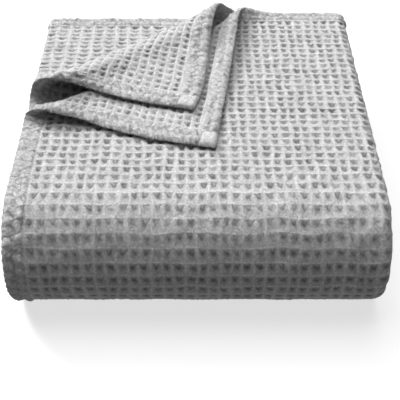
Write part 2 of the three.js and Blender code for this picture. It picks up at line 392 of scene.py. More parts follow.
class TurnedCorner:
    """Turned-back corner of a ply: threads pressed between its two hems, which meet at the tip."""

    SLOPE_STEP = 1e-3

    def __init__(self, left_route, back_route, press, face_up):
        self.left = HemCurve(left_route)
        self.back = HemCurve(back_route)
        self.left_flat = BACK_HEM_Y - left_route[0][1]
        self.back_flat = back_route[0][0] - LEFT
        self.press = press
        self.first_rise = left_route[0][2]
        self.lift_start = np.array(left_route[0][:2])
        lift_line = np.array(back_route[0][:2]) - self.lift_start
        self.behind = np.array([-lift_line[1], lift_line[0]]) / np.linalg.norm(lift_line)
        self.face_up = face_up

    def lying(self, from_side, from_back):
        """0 at the tip, 1 where the cloth lifts, and more where it lies flat."""
        return from_side / self.back_flat + from_back / self.left_flat

    def point(self, share, thread):
        """Place on a thread between the hems, sunk towards the bed and drawn in behind the lift line."""
        place = (1 - thread)[:, None] * self.left.at(share) + thread[:, None] * self.back.at(share)
        pressed = 1 - np.abs(1 - 2 * thread) ** self.press["quickness"]
        on_bed = smooth(0, BED_SHARE, share)
        past_roll = smooth(BED_SHARE, 2 * BED_SHARE, share)
        bed_rise = blend(self.first_rise, self.press["bed"], on_bed)
        sink = blend(*self.press["sink"], past_roll)
        overhang = np.maximum((place[:, :2] - self.lift_start) @ self.behind, 0)
        place[:, 2] -= sink * pressed * (place[:, 2] - TOP_PLY_Z - bed_rise)
        place[:, :2] -= (self.press["draw_in"] * pressed * overhang)[:, None] * self.behind
        return place

    def at(self, from_side, from_back):
        """Middle of the cloth, and the direction that its face looks in, inside the turned-back part."""
        lying = np.maximum(self.lying(from_side, from_back), TOUCHING)
        thread = from_side / self.back_flat / lying
        share = np.clip(1 - lying, 0, 1)
        held = np.minimum(share, 1 - 2 * self.SLOPE_STEP)
        before = self.point(np.maximum(held - self.SLOPE_STEP, 0), thread)
        after = self.point(held + self.SLOPE_STEP, thread)
        thread_start = self.point(held, np.maximum(thread - self.SLOPE_STEP, 0))
        thread_end = self.point(held, np.minimum(thread + self.SLOPE_STEP, 1))
        face = np.cross(thread_end - thread_start, after - before)
        face /= np.linalg.norm(face, axis=1)[:, None]
        return self.point(share, thread), face * self.face_up


TOP_CORNER = TurnedCorner(TOP_LEFT_HEM, TOP_BACK_HEM, TOP_PRESS, 1)
SECOND_CORNER = TurnedCorner(SECOND_LEFT_HEM, SECOND_BACK_HEM, SECOND_PRESS, -1)


def cloth_middle(across, along):
    """Middle of the cloth and the direction that its face looks in, for flat places."""
    x, level, face_x, face_level, _ = SECTION.at(across)
    y, z, face_y, face_z, slip = PATH.at(along)
    point = np.stack([x + slip, y + level * face_y, z + level * face_z], -1)
    face = np.stack([face_x, face_level * face_y, face_level * face_z], -1)
    ply = SECTION.which(across)
    for corner, its_ply, from_side in (
        (TOP_CORNER, TOP_PLY, across),
        (SECOND_CORNER, SECOND_PLY, FLAT_WIDTH - across),
    ):
        turned = (ply == its_ply) & (corner.lying(from_side, along) < 1)
        point[turned], face[turned] = corner.at(from_side[turned], along[turned])
    bared = (PATH.which(along) == TOP_PASS) & (ply >= LOWEST_PLY) & (ply <= THIRD_PLY)
    uncovered = 1 - smooth(1 - BARED_EASE, 1, SECOND_CORNER.lying(x - LEFT, along))
    looseness = np.where(bared, uncovered, 0)
    point[:, 0] -= BARED_SPREAD * looseness
    above_lowest = (level + OUTER_PLY) / PITCH
    point[:, 2] += BARED_RISE * looseness * blend(LOWEST_RISE_SHARE, 1, above_lowest)
    return point, face


class Wobble:
    """Smooth seeded unevenness over the flat cloth, mostly between -1 and 1."""

    WAVES = 9
    PACE = (0.6, 1.6)

    def __init__(self, seed, wavelength):
        draw = np.random.default_rng(seed)
        heading = draw.uniform(0, 2 * math.pi, self.WAVES)
        turns = 2 * math.pi * draw.uniform(*self.PACE, self.WAVES) / wavelength
        self.across = turns * np.cos(heading)
        self.along = turns * np.sin(heading)
        self.start = draw.uniform(0, 2 * math.pi, self.WAVES)

    def at(self, across, along):
        waves = np.sin(np.outer(across, self.across) + np.outer(along, self.along) + self.start)
        return waves.sum(axis=1) / math.sqrt(self.WAVES)


class CellTraits:
    """Seeded depth, place and lean of each waffle cell's pit, and height of each knob of the hem."""

    TABLE = 256

    def __init__(self, seed):
        draw = np.random.default_rng(seed)
        shape = (self.TABLE, self.TABLE)
        self.depth = 1 + PIT_DEPTH_SPREAD * draw.uniform(-1, 1, shape)
        self.shift_across = PIT_SHIFT * draw.uniform(-1, 1, shape)
        self.shift_along = PIT_SHIFT * draw.uniform(-1, 1, shape)
        self.lean = LEAN_SPREAD * draw.uniform(-1, 1, shape)
        self.float = PIT_FLOAT * draw.uniform(0, 2, shape)
        self.knob = 1 + HEM_KNOB_SPREAD * draw.uniform(-1, 1, shape)

    def cell(self, column, row):
        return np.floor(column).astype(int) % self.TABLE, np.floor(row).astype(int) % self.TABLE

    def pits(self, column, row, front):
        """Depth of the pit, from 0 on the ridges to about 1 near the middle of the cell."""
        cell = self.cell(column, row)
        v = row % 1
        off = column % 1 - 0.5 - self.shift_across[cell] - self.lean[cell] * (v - LEAN_PIVOT)
        shifted = np.clip(v - self.shift_along[cell] * np.sin(math.pi * v), 0, 1)
        fall = smooth(*PIT_DROP, shifted) * (1 - smooth(*PIT_CLIMB, shifted))
        front_fall = smooth(*FRONT_PIT_DROP, shifted) * (1 - smooth(*FRONT_PIT_CLIMB, shifted))
        fall = blend(fall, front_fall, front)
        half_width = blend(*PIT_HALF_WIDTH, smooth(*PIT_NARROWS, v))
        half_width = blend(half_width, FRONT_PIT_HALF_WIDTH, front)
        side = blend(PIT_SIDE, FRONT_PIT_SIDE, front)
        inside = 1 - smooth(half_width - side, half_width, np.abs(off))
        yarn = bell(off, PIT_FLOAT_WIDTH) * (1 - smooth(*PIT_FLOAT_END, v))
        return self.depth[cell] * fall * inside * (1 - self.float[cell] * yarn)

    def knobs(self, column, row):
        """Height of the hem's knobs, from 0 in the dents between them to about 1 on their tops."""
        staggered = row + 0.5 * np.floor(column)
        round_top = np.abs(np.sin(math.pi * column) * np.sin(math.pi * staggered)) ** KNOB_POWER
        return self.knob[self.cell(column, staggered)] * round_top


FACE_TRAITS = CellTraits(seed=11)
REVERSE_TRAITS = CellTraits(seed=12)
WANDER_ACROSS = Wobble(seed=21, wavelength=GRID_WANDER_LENGTH)
WANDER_ALONG = Wobble(seed=22, wavelength=GRID_WANDER_LENGTH)
PUCKERS = Wobble(seed=23, wavelength=PUCKER_LENGTH)
LUMPS = Wobble(seed=24, wavelength=LUMP_LENGTH)
EDGE_UNEVEN = Wobble(seed=25, wavelength=EDGE_DENT_LENGTH)


class EvenCells:
    """Waffle cells of one pitch, counted from a hem."""

    def __init__(self, pitch, hem_at=0.0, heading=1):
        self.pitch = heading * pitch
        self.first = hem_at + heading * HEM

    def number(self, place):
        return (place - self.first) / self.pitch

    def place(self, number):
        return self.first + self.pitch * number


class FaceRows:
    """Rows of waffle cells along the face, longer near the full front, whose turn stretches the face."""

    STEPS = 4000

    def __init__(self):
        self.places = np.linspace(0, FLAT_LENGTH, self.STEPS)
        round_front = self.places - PATH.starts[FRONT_TURN]
        in_front = smooth(*FRONT_ROW_GROWS, round_front) - smooth(*FRONT_ROW_SHRINKS, round_front)
        row_length = blend(FACE_CELL[1], FRONT_ROW, in_front)
        in_turn = PATH.which(self.places) == FRONT_TURN
        row_length = np.where(in_turn, row_length / FRONT_STRETCH, row_length)
        self.numbers = np.cumsum(1 / row_length) * (self.places[1] - self.places[0])

    def number(self, place):
        return np.interp(place, self.places, self.numbers)

    def place(self, number):
        return np.interp(number, self.numbers, self.places)


FACE_GRID = (EvenCells(FACE_CELL[0]), FaceRows())
THIRD_GRID = tuple(EvenCells(pitch) for pitch in THIRD_CELL)
TOP_FLAP_GRID = tuple(EvenCells(pitch) for pitch in TOP_FLAP_CELL)
SECOND_FLAP_GRID = (EvenCells(SECOND_FLAP_CELL[0], FLAT_WIDTH, -1), EvenCells(SECOND_FLAP_CELL[1]))


def edge_distances(across, along):
    """Distances from the nearer side edge and the nearer end edge of the sheet."""
    return np.minimum(across, FLAT_WIDTH - across), np.minimum(along, FLAT_LENGTH - along)


def stand_off(across, along, side, detail):
    """Distance of the surface from the cloth's middle, and what its material has to know there."""
    from_side, from_end = edge_distances(across, along)
    from_edge = np.minimum(from_side, from_end)
    ply = SECTION.which(across)
    bared = (ply == LEFT_FOLD) | (ply == THIRD_PLY)
    flap = ((ply == TOP_PLY) & (side < 0)) | ((ply == SECOND_PLY) & (side > 0))
    hem_start = HEM - np.where(flap, FLAP_HEM_STEP, HEM_STEP)
    side_hem = 1 - smooth(hem_start, HEM, from_side)
    end_hem = 1 - smooth(hem_start, HEM, from_end)
    hem = np.maximum(side_hem, end_hem)
    corner = side_hem * end_hem

    round_front = along - PATH.starts[FRONT_TURN]
    front = smooth(*FRONT_COMES, round_front)
    low = smooth(*FRONT_LOW, round_front)
    # Strength of the painted V of shadow, less on the front and more low on it
    v_shadow_strength = blend(1, FRONT_V_SHADOW, front) + (LOW_V_SHADOW - FRONT_V_SHADOW) * low
    pit, knob, ridge = np.zeros((3, len(across)))
    cell = np.stack([pit, pit, v_shadow_strength], -1)
    knob_place = np.stack([pit, pit, corner], -1)
    for here, traits, grid in (
        (~flap & ~bared & (side >= 0), FACE_TRAITS, FACE_GRID),
        (bared & (side >= 0), FACE_TRAITS, THIRD_GRID),
        (~flap & (side < 0), REVERSE_TRAITS, FACE_GRID),
        (flap & (side < 0), REVERSE_TRAITS, TOP_FLAP_GRID),
        (flap & (side > 0), REVERSE_TRAITS, SECOND_FLAP_GRID),
    ):
        column = grid[0].number(across[here])
        row = grid[1].number(along[here])
        cell[here, 0] = column
        cell[here, 1] = row
        pit[here] = traits.pits(column, row, front[here])
        ridge[here] = bell(row - np.round(row), RIDGE_HALF_WIDTH)
        by_side = from_side[here] < from_end[here]
        knob_place[here, 0] = KNOB_ROWS * from_edge[here] / HEM
        knob_place[here, 1] = np.where(by_side, along[here], across[here]) / KNOB_LENGTH
        knob[here] = traits.knobs(*knob_place[here, :2].T)
    pit *= (1 - hem) * np.where(flap, FLAP_DEPTH, blend(1, FRONT_DEPTH, front))
    groove = bell(from_edge - STITCH_LINE, STITCH_GROOVE_WIDTH) * (1 - corner) * ~flap
    knobby = hem * (1 - corner)

    height = RIDGE_RISE * ridge * (1 - hem) * (1 - front) - PIT_DEPTH * pit
    height += PUCKER * PUCKERS.at(across, along)
    height += blend(LUMP, HEM_LUMP, knobby) * LUMPS.at(across, along)
    height += HEM_RISE * hem + CORNER_RISE * corner
    height += np.where(flap, FLAP_KNOB, HEM_KNOB) * (knob - 0.5) * knobby
    height -= STITCH_GROOVE * groove
    thinning = 1 - EDGE_THINNING * bell(from_edge, EDGE_ROUND)
    # Painted shade: pits and the stitch groove are darkened in the colour by their depth, most low on the
    # front
    pit_shade = blend(PIT_SHADE, FRONT_SHADE, front) + (LOW_SHADE - FRONT_SHADE) * low
    share = np.clip(1 - pit * pit_shade - STITCH_SHADE * groove, 0, 1)
    shades = {"relief": np.where(detail > 0, share, 1), "hem": hem, "cell": cell, "knob_place": knob_place}
    return (HALF + height * detail) * thinning, shades


class ClothPoints:
    """Flat places of the mesh's points, with the side that each is on and whether it has relief."""

    def __init__(self):
        self.rows = []
        self.count = 0

    def add(self, across, along, side, detail):
        row = np.stack(np.broadcast_arrays(np.asarray(across, float), along, side, detail))
        shape = row.shape[1:]
        row = row.reshape(4, -1)
        self.rows.append(row)
        self.count += row.shape[1]
        return np.arange(self.count - row.shape[1], self.count).reshape(shape)

    def columns(self):
        return np.concatenate(self.rows, axis=1)


def zip_rows(outer, outer_places, inner, inner_places):
    """Triangles between two rows of points that run the same way."""
    triangles = []
    i = 0
    j = 0
    while i < len(outer) - 1 or j < len(inner) - 1:
        next_outer = outer_places[i + 1] if i < len(outer) - 1 else math.inf
        next_inner = inner_places[j + 1] if j < len(inner) - 1 else math.inf
        if next_outer <= next_inner:
            triangles.append((outer[i], outer[i + 1], inner[j]))
            i += 1
        else:
            triangles.append((outer[i], inner[j + 1], inner[j]))
            j += 1
    return triangles


class Even:
    """Points at most a spacing apart."""

    def __init__(self, spacing):
        self.spacing = spacing

    def between(self, start, end):
        steps = max(2, math.ceil((end - start) / self.spacing))
        return np.linspace(start, end, steps + 1)


class ByCell:
    """Points at the same shares of every waffle cell."""

    def __init__(self, cells, shares):
        self.cells = cells
        self.shares = np.array(shares)

    def between(self, start, end):
        first, last = sorted((self.cells.number(start), self.cells.number(end)))
        numbers = np.arange(math.floor(first), math.ceil(last))[:, None] + self.shares
        places = np.sort(self.cells.place(numbers.ravel()))
        inner = places[(places > start + CLOSEST) & (places < end - CLOSEST)]
        if len(inner) == 0:
            inner = np.array([(start + end) / 2])
        return np.concatenate([[start], inner, [end]])


def block_lines(line, hem_ends, divided):
    """Flat places where the mesh's blocks meet: ends of stretches, stitch lines of hems and divisions."""
    places = list(line.starts)
    for number in divided:
        places += list(np.linspace(line.starts[number], line.starts[number + 1], CORNER_BLOCKS + 1))
    for place in STITCH_BLOCK:
        places += [place if end == 0 else line.length - place for end in hem_ends]
    places = np.array(sorted(places))
    return places[np.concatenate([[True], np.diff(places) > TOUCHING])]


ACROSS_LINES = block_lines(SECTION, (0, 1), (TOP_PLY, THIRD_PLY, SECOND_PLY))
ALONG_LINES = block_lines(PATH, (0,), (TOP_PASS,))


def by_cell(grid, shares):
    """Points at shares of the cells of a grid, across and along."""
    return tuple(ByCell(cells, their_shares) for cells, their_shares in zip(grid, shares))


FACE_FINE = by_cell(FACE_GRID, FACE_SHARES)
TOP_FLAP_FINE = by_cell(TOP_FLAP_GRID, FLAP_SHARES)
SECOND_FLAP_FINE = by_cell(SECOND_FLAP_GRID, FLAP_SHARES)
THIRD_FINE = by_cell(THIRD_GRID, THIRD_SHARES)
IN_SIGHT = (Even(MEDIUM),) * 2
AT_RIM = (Even(RIM_SPACING),) * 2
IN_ROLL = (Even(ROLL_HIDDEN),) * 2
OUT_OF_SIGHT = (Even(HIDDEN),) * 2


def covered(block, corner):
    """Whether a block lies well inside the ground that a turned-back corner covers."""
    ring = np.vstack([corner.left.points, corner.back.points[::-1]])[:, :2]
    middle = ring.mean(axis=0)
    ring = middle + COVERED_SHARE * (ring - middle)
    ends = np.roll(ring, -1, axis=0)
    across, along = np.meshgrid(*block, indexing="ij")
    for x, y, _ in cloth_middle(across.ravel(), along.ravel())[0]:
        crossing = (ring[:, 1] > y) != (ends[:, 1] > y)
        rise = np.where(crossing, ends[:, 1] - ring[:, 1], 1)
        cross_x = ring[:, 0] + (y - ring[:, 1]) / rise * (ends[:, 0] - ring[:, 0])
        if np.count_nonzero(crossing & (cross_x > x)) % 2 == 0:
            return False
    return True


def corner_fineness(side, ply, block):
    """How the points of a block lie across and along, on the top pass of the two outer plies."""
    corner = TOP_CORNER if ply == TOP_PLY else SECOND_CORNER
    near, far = block[0] if ply == TOP_PLY else FLAT_WIDTH - block[0][::-1]
    nearest = corner.lying(near, block[1][0])
    furthest = corner.lying(far, block[1][1])
    outside = -1 if ply == TOP_PLY else 1
    if side == outside:
        if nearest > FLAP_SHOWS:
            return OUT_OF_SIGHT
        if ply == SECOND_PLY:
            return SECOND_FLAP_FINE
        return IN_ROLL if furthest < 1 and covered(block, SECOND_CORNER) else TOP_FLAP_FINE
    if ply == TOP_PLY and furthest > FACE_SHOWS:
        return IN_ROLL if nearest > 1 and covered(block, TOP_CORNER) else FACE_FINE
    mouth_start, mouth_end = MOUTH_SHOWS
    by_hem = min(near, block[1][0]) < MOUTH_REACH
    return IN_SIGHT if by_hem and furthest > mouth_start and nearest < mouth_end else IN_ROLL


def fineness(side, ply, lap, block):
    """How the points of a block lie across and along."""
    if lap == TOP_PASS and ply in (TOP_PLY, SECOND_PLY):
        return corner_fineness(side, ply, block)
    if lap == TOP_PASS and ply == LEFT_FOLD and side > 0:
        return THIRD_FINE
    if lap == TOP_PASS and ply == THIRD_PLY and side > 0:
        near = block[0][0] - SECTION.starts[THIRD_PLY]
        shows = SECOND_CORNER.lying(near, block[1][0]) < BARED_SHOWS
        return THIRD_FINE if shows else OUT_OF_SIGHT
    if side > 0 and ply in (TOP_PLY, RIGHT_TURN) and lap in (TOP_PASS, FRONT_TURN):
        return FACE_FINE
    if side > 0 and (ply in (RIGHT_TURN, LEFT_FOLD) or (ply == TOP_PLY and lap == BACK_TURN)):
        return IN_SIGHT
    if min(block[0][0], FLAT_WIDTH - block[0][1]) < RIM or block[1][0] < RIM:
        return AT_RIM
    return OUT_OF_SIGHT


def block_places(block, axis, line, fine):
    """Places of a block's points across (axis 0) or along (axis 1)."""
    start, end = block[axis]
    if isinstance(fine[axis], ByCell):
        in_hem = np.min(edge_distances(*block)) < TOUCHING
        if end - start < NARROW_BLOCK:
            return Even(STITCH_SPACING).between(start, end)
        return (Even(HEM_FINE) if in_hem else fine[axis]).between(start, end)
    stretch = line.stretches[int(line.which(np.mean(block[axis])))]
    if not stretch.is_turn:
        return fine[axis].between(start, end)
    step = FOLD_STEP_DEG if stretch.radius < OUTER_PLY else TURN_STEP_DEG
    widest = stretch.length * step / 180
    return Even(min(widest, fine[axis].spacing)).between(start, end)


class BlockPlan:
    """Places of the points of every block on one side of the cloth, and whether they have relief."""

    def __init__(self, side):
        self.shape = (len(ACROSS_LINES) - 1, len(ALONG_LINES) - 1)
        self.places = np.empty((2, *self.shape), object)
        self.relief = np.zeros(self.shape, int)
        for i, j in np.ndindex(self.shape):
            block = (ACROSS_LINES[i : i + 2], ALONG_LINES[j : j + 2])
            ply = int(SECTION.which(np.mean(block[0])))
            lap = int(PATH.which(np.mean(block[1])))
            fine = fineness(side, ply, lap, block)
            self.relief[i, j] = fine not in (IN_ROLL, OUT_OF_SIGHT)
            for axis, line in enumerate((SECTION, PATH)):
                self.places[axis, i, j] = block_places(block, axis, line, fine)

    def neighbours(self, axis, i, j):
        """The one or two blocks that meet at line i, j along an axis."""
        before = (i - 1, j) if axis == 0 else (i, j - 1)
        pair = (before, (i, j))
        return [block for block in pair if 0 <= block[0] < self.shape[0] and 0 <= block[1] < self.shape[1]]


def add_rows(points, side, plans, corners, axis):
    """Rows of points on the block lines that run across (axis 0) or along (axis 1), between the corners."""
    plan = plans[side]
    lines = (ACROSS_LINES, ALONG_LINES)
    rows = {}
    for i, j in np.ndindex(plan.shape[0] + axis, plan.shape[1] + 1 - axis):
        met = plan.neighbours(1 - axis, i, j)
        line_number = i if axis == 1 else j
        at_edge = line_number in (0, plan.shape[1 - axis])
        meeting = plans.values() if at_edge else (plan,)
        places = max((one.places[axis][block] for one in meeting for block in met), key=len)
        flat = [places[1:-1], places[1:-1]]
        flat[1 - axis] = lines[1 - axis][line_number]
        between = points.add(*flat, side, max(plan.relief[block] for block in met))
        next_corner = corners[i + 1 - axis, j + axis]
        rows[i, j] = (np.concatenate([[corners[i, j]], between, [next_corner]]), places)
    return rows


def add_side(points, faces, side, plans):
    """Points and faces of one side of the cloth, and its rows of points along the block lines."""
    plan = plans[side]
    relief_at = np.zeros((len(ACROSS_LINES), len(ALONG_LINES)), int)
    for i, j in np.ndindex(2, 2):
        met = relief_at[i : i + plan.shape[0], j : j + plan.shape[1]]
        np.maximum(met, plan.relief, out=met)
    corners = points.add(*np.meshgrid(ACROSS_LINES, ALONG_LINES, indexing="ij"), side, relief_at)
    rows_across = add_rows(points, side, plans, corners, axis=0)
    rows_along = add_rows(points, side, plans, corners, axis=1)
    for i, j in np.ndindex(plan.shape):
        across, along = (places[1:-1] for places in plan.places[:, i, j])
        inner = points.add(*np.meshgrid(across, along, indexing="ij"), side, plan.relief[i, j])
        quads = np.stack([inner[:-1, :-1], inner[:-1, 1:], inner[1:, 1:], inner[1:, :-1]], -1)
        faces += quads.reshape(-1, 4).tolist()
        faces += zip_rows(*rows_across[i, j], inner[:, 0], across)
        faces += zip_rows(*rows_across[i, j + 1], inner[:, -1], across)
        faces += zip_rows(*rows_along[i, j], inner[0], along)
        faces += zip_rows(*rows_along[i + 1, j], inner[-1], along)
    return rows_across, rows_along


def edge_loop(rows_across, rows_along):
    """Points once round the edge of one side of the sheet."""
    last_across = len(ACROSS_LINES) - 1
    last_along = len(ALONG_LINES) - 1
    there = [rows_across[i, 0][0] for i in range(last_across)]
    there += [rows_along[last_across, j][0] for j in range(last_along)]
    back = [rows_along[0, j][0] for j in range(last_along)]
    back += [rows_across[i, last_along][0] for i in range(last_across)]
    return np.concatenate([row[:-1] for row in there] + [row[:0:-1] for row in reversed(back)])


def add_edge(points, faces, face_loop, reverse_loop):
    """Rounded edge of the sheet, from its face to its reverse by way of a middle row."""
    across, along = points.columns()[:2, face_loop]
    middle = points.add(across, along, 0, 1)
    for near, far in ((face_loop, middle), (middle, reverse_loop)):
        quads = np.stack([near, np.roll(near, -1), np.roll(far, -1), far], -1)
        faces += quads.tolist()


def edge_dents(place, length, run):
    """Shift inwards, near the two edges that cross a direction, of the dents between the edges' knobs."""
    uneven = EDGE_UNEVEN.at(run, np.sign(place - length / 2) * FLAT_LENGTH)
    fullness = blend(1, uneven, EDGE_DENT_SPREAD)
    dent = EDGE_DENT * (1 - np.abs(np.sin(math.pi * run / EDGE_KNOB_LENGTH)) * fullness)
    near_start = 1 - smooth(0, EDGE_DENT_REACH, place)
    near_end = 1 - smooth(0, EDGE_DENT_REACH, length - place)
    return dent * (near_start - near_end)


def wandered(across, along):
    """Flat places where the points of an even grid really lie: off by a little, with dents at the edges."""
    reach = smooth(0, WANDER_FADE, np.minimum(*edge_distances(across, along)))
    off_across = GRID_WANDER[0] * reach * WANDER_ACROSS.at(across, along)
    off_along = GRID_WANDER[1] * reach * WANDER_ALONG.at(across, along)
    off_across += edge_dents(across, FLAT_WIDTH, along)
    off_along += edge_dents(along, FLAT_LENGTH, across)
    return across + off_across, along + off_along


def cloth_places(points):
    """Places of all the mesh's points in space, their shades and their flat places."""
    across, along, side, detail = points.columns()
    place, face = cloth_middle(*wandered(across, along))
    off, shades = stand_off(across, along, side, detail)
    place += (side * off)[:, None] * face
    edge = side == 0
    inset_across = np.clip(across[edge], EDGE_INSET, FLAT_WIDTH - EDGE_INSET)
    inset_along = np.clip(along[edge], EDGE_INSET, FLAT_LENGTH - EDGE_INSET)
    outward = cloth_middle(across[edge], along[edge])[0] - cloth_middle(inset_across, inset_along)[0]
    outward /= np.linalg.norm(outward, axis=1)[:, None]
    place[edge] += EDGE_BULGE * outward
    place[:, 2] = np.maximum(place[:, 2], 0)
    return place, shades, np.stack([across, along, side], -1)


# Room that each stretch gets in the texture map, as shares of its length: most where the cloth shows
MAP_ROOM_ACROSS = (1, 1, 0.2, 1, 0.6, 0.3, 0.9)
MAP_ROOM_ALONG = (1, 1.2, 0.3, 0.6) + (0.12,) * 5
MAP_EDGE = 3.0
MAP_MARGIN = 4.0


def map_axis(line, room, place, edge):
    """Places along one direction of the texture map, with a border for the edge, and its extent."""
    lengths = np.diff(line.starts) * np.array(room)
    ends = np.concatenate([[0], np.cumsum(lengths)]) + MAP_EDGE + MAP_MARGIN
    mapped = np.interp(place, line.starts, ends)
    mapped += edge * MAP_EDGE * ((place >= line.length - TOUCHING) * 1.0 - (place <= TOUCHING))
    return mapped, ends[-1] + MAP_EDGE + MAP_MARGIN


def add_texture_map(mesh, flat):
    """Map of the cloth laid flat, with its face in the lower half and its reverse in the upper."""
    corner_point = np.zeros(len(mesh.loops), int)
    mesh.loops.foreach_get("vertex_index", corner_point)
    corner_count = np.zeros(len(mesh.polygons), int)
    mesh.polygons.foreach_get("loop_total", corner_count)
    corner_face = np.repeat(np.arange(len(corner_count)), corner_count)
    across, along, side = flat[corner_point].T
    face_side = np.sign(np.bincount(corner_face, side))[corner_face]
    u, width = map_axis(SECTION, MAP_ROOM_ACROSS, across, side == 0)
    v, length = map_axis(PATH, MAP_ROOM_ALONG, along, side == 0)
    v += np.where(face_side < 0, length, 0)
    uv = np.stack([u / width, v / (2 * length)], -1)
    layer = mesh.uv_layers.new(name="OFBake")
    layer.uv.foreach_set("vector", uv.astype(np.float32).ravel())


def make_cloth():
    """The whole folded sheet as one closed mesh."""
    points = ClothPoints()
    faces = []
    plans = {1: BlockPlan(1), -1: BlockPlan(-1)}
    loops = [edge_loop(*add_side(points, faces, side, plans)) for side in plans]
    add_edge(points, faces, *loops)
    place, shades, flat = cloth_places(points)

    mesh = bpy.data.meshes.new("throw_cloth")
    mesh.from_pydata((place * MM).tolist(), [], faces)
    tidy = bmesh.new()
    tidy.from_mesh(mesh)
    bmesh.ops.recalc_face_normals(tidy, faces=tidy.faces)
    tidy.to_mesh(mesh)
    tidy.free()
    mesh.polygons.foreach_set("use_smooth", np.ones(len(mesh.polygons), bool))
    for name, values in {**shades, "flat_place": flat}.items():
        kind, field = ("FLOAT", "value") if values.ndim == 1 else ("FLOAT_VECTOR", "vector")
        attribute = mesh.attributes.new(name, kind, "POINT")
        attribute.data.foreach_set(field, values.astype(np.float32).ravel())
    add_texture_map(mesh, flat)
    cloth = bpy.data.objects.new("throw_cloth", mesh)
    bpy.context.scene.collection.objects.link(cloth)
    return cloth


# Colours of the cloth: grey, painted shade and highlights, and how much darker or lighter each unevenness
# is
YARN_GREY = 0.595
PAINTED_PIT_SHADE = 0.58
PAINTED_V_SHADOW = 0.55
PAINTED_RIDGE_HIGHLIGHT = 0.24
GRAIN = 1.2
MOTTLE = 0.3
PAINTED_DENT_SHADE = 0.26
CORNER_LIGHT = 0.14
PAINTED_RIM_SHADE = 0.3

# Painted V of shadow in the back of every pit, and painted highlights along the ridges, in shares of a cell
MARK_HALF_WIDTH = 0.25
MARK_BACK = 0.12
MARK_FOOT = 0.56
MARK_COMES = (0.04, 0.18)
MARK_GOES = (0.48, 0.66)
MARK_STROKE = 0.17
MARK_FILL = 0.45
MARK_SPREAD = 0.6
MARK_SHIFT = 0.16
MARK_LEAN = 1.1
ROW_HIGHLIGHT_HALF_WIDTH = 0.1
COLUMN_HIGHLIGHT_HALF_WIDTH = 0.16
COLUMN_HIGHLIGHT = 0.7

# Marks of the hem: how its knobs drift, how wide the dents between them are, and a corner square's rim,
# both given painted shade
KNOB_DRIFT = 1.6
KNOB_DENT_REACH = 0.5
CORNER_RIM = (0.35, 0.65)

# Yarn: spacing in millimetres, and how many of each unevenness there are to a millimetre
YARN_SPACING = 1.3
FUZZ_SCALE = 0.5
KNOB_SCALE = 0.24
DRIFT_SCALE = 0.12
MOTTLE_SCALE = 0.035
NOISE_DETAIL = 3.0
DRIFT_DETAIL = 1.0

# Bumps: their distance in metres, their strength and the height of each kind
BUMP_DISTANCE = 0.0018
BUMP_STRENGTH = 0.9
WEAVE_HEIGHT = 0.25
KNOB_HEIGHT = 0.3
HEM_KNOB_HEIGHT = 0.6
MARK_DEPTH = 0.5


class Nodes:
    """Short way to add and join the nodes of one material or world."""

    def __init__(self, material):
        material.use_nodes = True
        self.tree = material.node_tree
        self.tree.nodes.clear()

    def add(self, kind, inputs=(), **settings):
        node = self.tree.nodes.new(kind)
        for name, value in settings.items():
            setattr(node, name, value)
        for name, value in dict(inputs).items():
            socket = node.inputs[name]
            if isinstance(value, bpy.types.NodeSocket):
                self.tree.links.new(value, socket)
            else:
                socket.default_value = value
        return node

    def math(self, operation, first, second=0.0):
        node = self.add("ShaderNodeMath", {0: first, 1: second}, operation=operation)
        return node.outputs[0]

    def minus(self, first, second):
        return self.math("SUBTRACT", first, second)

    def product(self, first, *others):
        for other in others:
            first = self.math("MULTIPLY", first, other)
        return first

    def about_one(self, value, strength, middle=0.0):
        """1 plus a strength times the value's distance from a middle."""
        return self.math("ADD", self.product(self.minus(value, middle), strength), 1.0)

    def ramp(self, value, low, high, first, last):
        """An even curve from first, below low, to last, above high."""
        inputs = {0: value, 1: low, 2: high, 3: first, 4: last}
        return self.add("ShaderNodeMapRange", inputs, interpolation_type="SMOOTHSTEP").outputs[0]

    def noise(self, vector, scale, detail):
        inputs = {"Vector": vector, "Scale": scale, "Detail": detail}
        return self.add("ShaderNodeTexNoise", inputs).outputs["Fac"]

    def attribute(self, name, output):
        return self.add("ShaderNodeAttribute", attribute_name=name).outputs[output]

    def parts(self, vector):
        node = self.add("ShaderNodeSeparateXYZ", {0: vector})
        return [node.outputs[name] for name in "XYZ"]


